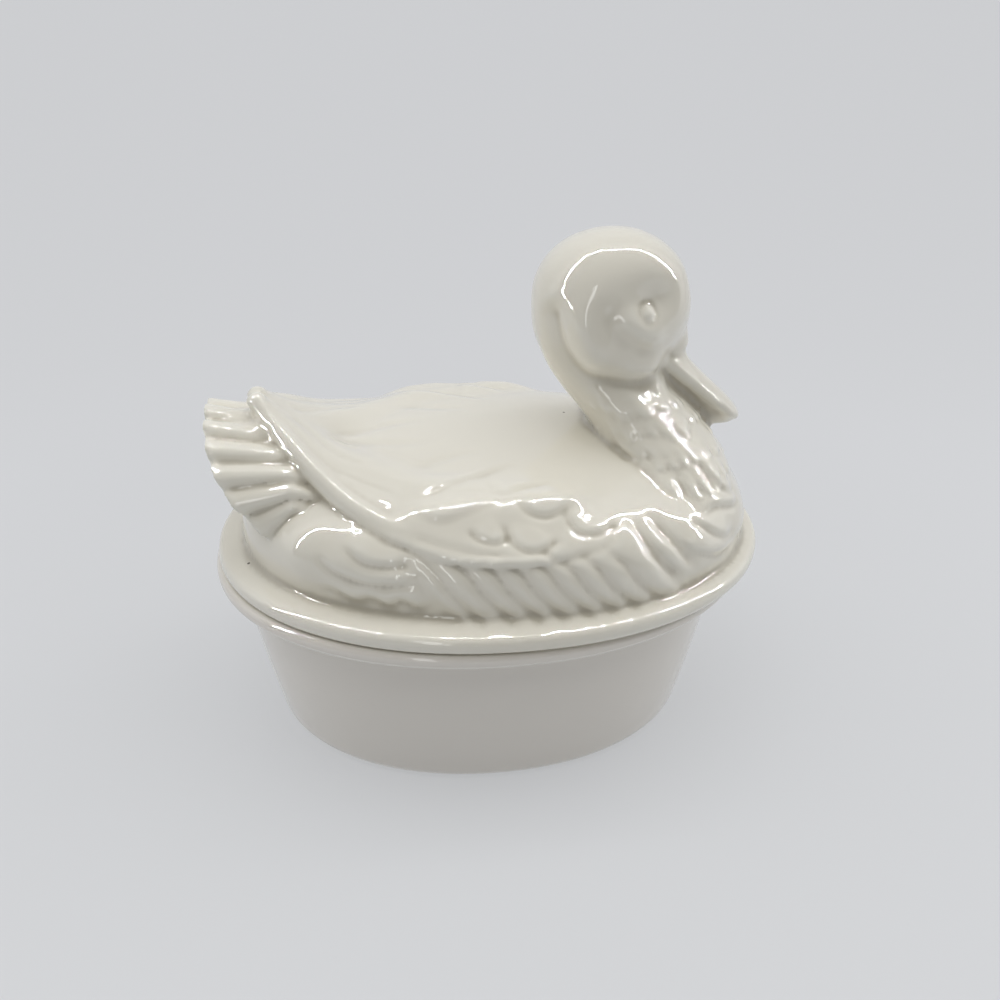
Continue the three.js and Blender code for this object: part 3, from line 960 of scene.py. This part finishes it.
def makeLid():
    skins = [
        flangeSkin(lidShape),
        skirtSkin(lidShape),
        bodySkin(bodyShape, inset=0, steps=480, levels=160),
        neckSkin(neckShape, inset=0, steps=320, levels=260),
        billSkin(billShape),
        wingSkin(wingShape, -1),
        wingSkin(wingShape, 1),
        rodSkin(rimShape, -1),
        rodSkin(rimShape, 1),
        tailSkin(tailShape),
    ]
    lid = remeshed("lid_duck", skins, lidShape["voxel"])
    print("lid remeshed", len(lid.data.polygons))
    mesh = lid.data
    edges = edgesOf(mesh)
    places = relax(placesOf(mesh), edges, passes=8)
    for centre, radii, passes in lidShape["fills"]:
        places = fillIn(places, edges, inside(places, centre, radii), passes)
    for path, reach, passes in lidShape["seamFills"]:
        places = fillIn(places, edges, nearPath(places, path, reach), passes)
    putPlaces(mesh, places)
    normals = normalsOf(mesh)
    for _ in range(3):
        normals = neighbourMean(normals, edges)
    normals = unit(normals)
    work = carving(places, normals)
    carveFlank(work, flankShape)
    carveWing(work, wingRelief)
    carveHead(work, headRelief)
    carveScales(work, scaleShape)
    print("lid carved")
    move = neighbourMean(work["move"], edges)
    putPlaces(mesh, relax(places + normals * move[:, None], edges, passes=2))
    wall = lidShape["wall"]
    inner = [
        bodySkin(bodyShape, inset=wall, steps=120, levels=30),
        neckSkin(neckShape, inset=wall, steps=80, levels=60),
    ]
    hollow = remeshed("hollow", inner, lidShape["hollowVoxel"])
    mouth = objectOf("mouth", meshOf("mouth", [mouthSkin(lidShape)]))
    for cutter in (hollow, mouth):
        cut = lid.modifiers.new("cut", "BOOLEAN")
        cut.operation = "DIFFERENCE"
        cut.solver = "MANIFOLD"
        cut.object = cutter
    settle(lid)
    for cutter in (hollow, mouth):
        bpy.data.objects.remove(cutter)
    thinOut(lid, plainShape, lidShape["triangles"])
    mesh = lid.data
    # Marks the grooves and creases that the glaze colours darker, partly as painted shade.
    markPoolAndShade(mesh)
    putPlaces(mesh, placesOf(mesh) + lidPlace)
    mesh.shade_smooth()
    mesh.set_sharp_from_angle(angle=math.radians(lidShape["sharpDegrees"]))
    print("lid hollowed", trianglesOf(mesh), "triangles")
    return lid


# Glaze

glazes = {
    "lid": {
        "name": "ivory glaze",
        "thin": (0.87, 0.848, 0.76),
        "even": (0.84, 0.81, 0.715),
        # Colour in grooves and creases: the glaze's own pooling, made darker still as painted shade.
        "pooledAndShaded": (0.59, 0.555, 0.46),
        "mottle": 0.05,
        "speckReach": 0.021,
        "roughness": 0.03,
        "wave": 0.06,
    },
    # The dish's glaze is a little darker and greyer than the lid's: painted shade for its wall, which leans
    # away from the light above.
    "dish": {
        "name": "ivory glaze, dish",
        "thin": (0.86, 0.83, 0.77),
        "even": (0.82, 0.785, 0.725),
        # Colour in grooves and creases: the glaze's own pooling, made darker still as painted shade.
        "pooledAndShaded": (0.55, 0.505, 0.425),
        "mottle": 0.04,
        "speckReach": 0.018,
        "roughness": 0.035,
        "wave": 0.08,
    },
}
glazeTone = {
    "mottleScale": 38,
    "mottleDetail": 3,
    "thinned": (0.15, 0.5),
    # How hollow a place must be to take the darker pooled colour, which is partly painted shade.
    "poolingAndShade": (0.5, 0.95),
    "speckScale": 30,
    "speckColour": (0.16, 0.14, 0.11),
}
glazeSkin = {
    "waveScale": 85,
    "peelScale": 420,
    "detail": 1,
    "peelHeight": 0.004,
    "bumpStrength": 0.5,
    "bumpDistance": 0.001,
    "coat": 0.5,
    "coatRoughness": 0.01,
    "pooledRoughness": 0.03,
}


# Links sockets to nodes' outputs, or sets them to values.
def feed(tree, sockets, sources):
    for name, source in sources.items():
        if isinstance(source, bpy.types.NodeSocket):
            tree.links.new(source, sockets[name])
        else:
            sockets[name].default_value = source


# The outputs of a new node with the given settings and inputs.
def nodeOf(tree, kind, inputs, **settings):
    node = tree.nodes.new("ShaderNode" + kind)
    for name, value in settings.items():
        setattr(node, name, value)
    feed(tree, node.inputs, inputs)
    return node.outputs


def mathOf(tree, operation, *sources):
    return nodeOf(tree, "Math", dict(enumerate(sources)), operation=operation)["Value"]


def mixOf(tree, factor, one, two):
    return nodeOf(tree, "Mix", {"Factor": factor, "A": one, "B": two}, data_type="RGBA")["Result"]


# A value's share of the way from low to high.
def shareOf(tree, value, low, high, kind="SMOOTHSTEP"):
    inputs = {"Value": value, "From Min": low, "From Max": high}
    return nodeOf(tree, "MapRange", inputs, interpolation_type=kind)["Result"]


def noiseOf(tree, place, scale, detail):
    return nodeOf(tree, "TexNoise", {"Vector": place, "Scale": scale, "Detail": detail})["Fac"]


# A node group with numbers and colours as inputs, by their default values, and named outputs.
def nodeGroup(name, takes, gives):
    group = bpy.data.node_groups.new(name, "ShaderNodeTree")
    for socketName, value in takes.items():
        kind = "NodeSocketFloat" if isinstance(value, float) else "NodeSocketColor"
        socket = group.interface.new_socket(name=socketName, in_out="INPUT", socket_type=kind)
        socket.default_value = value
    for socketName, kind in gives.items():
        group.interface.new_socket(name=socketName, in_out="OUTPUT", socket_type="NodeSocket" + kind)
    return group, group.nodes.new("NodeGroupInput").outputs, group.nodes.new("NodeGroupOutput").inputs


# Glaze tone: thin on ridges, even on the flat, pooled and darkened in grooves and creases, partly the
# glaze's own pooling and partly painted shade, mottled by a slow noise and pricked by a few dark specks.
# Gives the colour and how pooled and shaded the glaze is.
def glazeToneGroup(values):
    takes = {name: (0.8, 0.8, 0.8, 1) for name in ("Thin", "Even", "Pooled And Shaded", "Speck")}
    takes.update({"Mottle": 0.05, "Speck Reach": 0.03})
    tree, takes, gives = nodeGroup("glazeTone", takes, {"Colour": "Color", "Pool And Shade": "Float"})
    place = nodeOf(tree, "TexCoord", {})["Object"]
    poolAndShade = nodeOf(tree, "Attribute", {}, attribute_name="poolAndShade")["Fac"]
    noise = noiseOf(tree, place, values["mottleScale"], values["mottleDetail"])
    shift = mathOf(tree, "SUBTRACT", noise, 0.5)
    mottled = mathOf(tree, "MULTIPLY_ADD", shift, takes["Mottle"], poolAndShade)
    fall = shareOf(tree, mottled, *values["poolingAndShade"])
    colour = mixOf(tree, shareOf(tree, mottled, *values["thinned"]), takes["Thin"], takes["Even"])
    colour = mixOf(tree, fall, colour, takes["Pooled And Shaded"])
    cells = nodeOf(tree, "TexVoronoi", {"Vector": place, "Scale": values["speckScale"]})
    prick = mathOf(tree, "LESS_THAN", cells["Distance"], takes["Speck Reach"])
    feed(tree, gives, {"Colour": mixOf(tree, prick, colour, takes["Speck"]), "Pool And Shade": fall})
    return tree


# Glaze skin: a slow wave from the dipping and a fine orange peel, as a height.
def glazeSkinGroup(values):
    tree, takes, gives = nodeGroup("glazeSkin", {"Wave": 0.05}, {"Height": "Float"})
    place = nodeOf(tree, "TexCoord", {})["Object"]
    wave = noiseOf(tree, place, values["waveScale"], values["detail"])
    waved = mathOf(tree, "MULTIPLY", wave, takes["Wave"])
    peel = noiseOf(tree, place, values["peelScale"], values["detail"])
    feed(tree, gives, {"Height": mathOf(tree, "MULTIPLY_ADD", peel, values["peelHeight"], waved)})
    return tree


def glazeMaterial(values, toneGroup, skinGroup):
    material = bpy.data.materials.new(values["name"])
    material.use_nodes = True
    tree = material.node_tree
    tone = nodeOf(tree, "Group", {
        "Thin": (*values["thin"], 1),
        "Even": (*values["even"], 1),
        "Pooled And Shaded": (*values["pooledAndShaded"], 1),
        "Speck": (*glazeTone["speckColour"], 1),
        "Mottle": values["mottle"],
        "Speck Reach": values["speckReach"],
    }, node_tree=toneGroup)
    surface = nodeOf(tree, "Group", {"Wave": values["wave"]}, node_tree=skinGroup)
    gloss = nodeOf(tree, "MapRange", {
        "Value": tone["Pool And Shade"],
        "To Min": values["roughness"],
        "To Max": values["roughness"] + glazeSkin["pooledRoughness"],
    })
    bumps = nodeOf(tree, "Bump", {
        "Height": surface["Height"],
        "Strength": glazeSkin["bumpStrength"],
        "Distance": glazeSkin["bumpDistance"],
    })
    feed(tree, tree.nodes["Principled BSDF"].inputs, {
        "Base Color": tone["Colour"],
        "Roughness": gloss["Result"],
        "Normal": bumps["Normal"],
        "Coat Weight": glazeSkin["coat"],
        "Coat Roughness": glazeSkin["coatRoughness"],
    })
    return material


# Studio

studio = {
    "cameraPlace": (-0.06044, -0.4194, 0.30051),
    "cameraTurn": (63.43, -0.545, -9.042),
    "lens": 39.6,
    "sweepHalfWidth": 1.6,
    "sweepFront": -1.2,
    "sweepBack": 0.75,
    "sweepRound": 0.5,
    "sweepHeight": 1.6,
    "sweepColour": (0.16, 0.163, 0.168),
    "sweepGlow": (0.515, 0.522, 0.537),
    "nearColour": (0.32, 0.325, 0.333),
    "nearGlow": (0.36, 0.366, 0.376),
    "nearReach": (0.13, 0.42),
    "bendSteps": 40,
}


def makeCamera():
    camera = objectOf("camera", bpy.data.cameras.new("camera"))
    camera.location = studio["cameraPlace"]
    camera.rotation_euler = Euler([math.radians(turn) for turn in studio["cameraTurn"]])
    camera.data.sensor_width = 36
    camera.data.lens = studio["lens"]
    camera.data.clip_start = 0.01
    bpy.context.scene.camera = camera


# Sweep: a floor that turns up into a backdrop along a quarter circle. It glows a little, less so
# near the dish, where the light on it and the dish's shadow show more.
def makeSweep():
    angle = np.radians(np.linspace(-90, 0, studio["bendSteps"]))
    bend, front, back = studio["sweepRound"], studio["sweepFront"], studio["sweepBack"]
    y = np.concatenate([[front], back - bend + bend * np.cos(angle), [back]])
    z = np.concatenate([[0], bend + bend * np.sin(angle), [studio["sweepHeight"]]])
    x = np.full(len(y), studio["sweepHalfWidth"])
    places = np.vstack([np.stack([side * x, y, z], axis=1) for side in (-1, 1)])
    step = np.arange(len(y) - 1)
    faces = np.stack([step, step + len(y), step + len(y) + 1, step + 1], axis=1)
    mesh = bpy.data.meshes.new("sweep")
    mesh.from_pydata(places.tolist(), [], faces.tolist())
    mesh.shade_smooth()
    sweep = objectOf("sweep", mesh)
    material = bpy.data.materials.new("backdrop")
    material.use_nodes = True
    tree = material.node_tree
    place = nodeOf(tree, "TexCoord", {})["Object"]
    reach = nodeOf(tree, "VectorMath", {0: place}, operation="LENGTH")["Value"]
    far = shareOf(tree, reach, *studio["nearReach"])
    colour, glow = (
        mixOf(tree, far, (*studio[near], 1), (*studio[away], 1))
        for near, away in (("nearColour", "sweepColour"), ("nearGlow", "sweepGlow"))
    )
    feed(tree, tree.nodes["Principled BSDF"].inputs, {
        "Base Color": colour,
        "Emission Color": glow,
        "Emission Strength": 1,
        "Roughness": 0.9,
        "Specular IOR Level": 0.1,
    })
    mesh.materials.append(material)


# An area light that shines along its -Z, with its width along the given direction.
def areaLight(name, along, place, aim, size, radiance):
    data = bpy.data.lights.new(name, "AREA")
    data.shape = "RECTANGLE"
    data.size, data.size_y = size
    data.energy = radiance * math.pi * size[0] * size[1]
    light = objectOf(name, data)
    away = (Vector(place) - Vector(aim)).normalized()
    sideways = (Vector(along) - Vector(along).dot(away) * away).normalized()
    turn = Matrix((sideways, away.cross(sideways), away)).transposed()
    light.matrix_world = Matrix.Translation(place) @ turn.to_4x4()
    return light


lights = {
    "tent": (1, 1, 1),
    "room": (0.06, 0.055, 0.048),
    "towardsCamera": (-0.05, -0.978, 0.2),
    "roomEdge": (-0.06, 0.05),
    "ceiling": {"place": (0, -0.34, 1.2), "aim": (0, -0.34, 0), "size": (2, 1.3), "radiance": 1.46},
    "window": {"place": (-0.5, -1.3, 0.64), "aim": (0.05, 0, 0.15), "size": (0.18, 1), "radiance": 3},
    "walls": [[(-1.1, -0.05, 0.7), 0.4], [(1.1, -0.05, 0.45), 0.6]],  # middle and radiance of each
    "wallAim": (0, 0, 0.08),
    "wallSize": (1.1, 0.8),
    "strips": [  # from end to end of each, round the opening that the camera looks through
        [(-0.4, -0.06, 0.16), (-0.4, -0.03, 0.37)],
        [(-0.4, -0.01, 0.42), (-0.135, 0.105, 0.62)],
        [(-0.09, 0.11, 0.62), (0.29, 0.09, 0.62)],
        [(0.33, 0.07, 0.61), (0.45, 0, 0.5)],
        [(0.455, -0.01, 0.47), (0.47, -0.05, 0.19)],
    ],
    "stripAim": (0.04, -0.02, 0.14),
    "stripWidth": 0.004,
    "stripRadiance": 300,
}


# World: a bright tent behind and above, and a dim room on the camera's side of the object.
def makeWorld():
    world = bpy.data.worlds.new("studio")
    bpy.context.scene.world = world
    world.use_nodes = True
    tree = world.node_tree
    way = nodeOf(tree, "TexCoord", {})["Generated"]
    facing = nodeOf(tree, "VectorMath", {0: way, 1: lights["towardsCamera"]}, operation="DOT_PRODUCT")
    share = shareOf(tree, facing["Value"], *lights["roomEdge"], "LINEAR")
    colour = mixOf(tree, share, (*lights["tent"], 1), (*lights["room"], 1))
    feed(tree, tree.nodes["Background"].inputs, {"Color": colour})


# Lights: a ceiling and two walls that only light, and a dim window and thin bright strips that
# only show in the glaze.
def makeLights():
    level, deep = (1, 0, 0), (0, 1, 0)
    areaLight("ceiling", level, **lights["ceiling"]).visible_glossy = False
    for index, (place, radiance) in enumerate(lights["walls"]):
        wall = areaLight("wall" + str(index), deep, place, lights["wallAim"], lights["wallSize"], radiance)
        wall.visible_glossy = False
    areaLight("window", level, **lights["window"]).visible_diffuse = False
    for index, ends in enumerate(lights["strips"]):
        start, end = (Vector(place) for place in ends)
        along, middle = end - start, (start + end) / 2
        size = along.length, lights["stripWidth"]
        aim, radiance = lights["stripAim"], lights["stripRadiance"]
        areaLight("strip" + str(index), along, middle, aim, size, radiance).visible_diffuse = False


bpy.context.scene.view_settings.view_transform = "Standard"
makeCamera()
makeSweep()
makeWorld()
makeLights()
print("studio ready")
toneGroup, skinGroup = glazeToneGroup(glazeTone), glazeSkinGroup(glazeSkin)
dishPiece = makeDish()
dishPiece.data.materials.clear()
dishPiece.data.materials.append(glazeMaterial(glazes["dish"], toneGroup, skinGroup))
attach(dishPiece, "dish")
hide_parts("dish")
print("dish made")
lidPiece = makeLid()
lidPiece.data.materials.clear()
lidPiece.data.materials.append(glazeMaterial(glazes["lid"], toneGroup, skinGroup))
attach(lidPiece, "lid")
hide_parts("lid")
print("lid made")
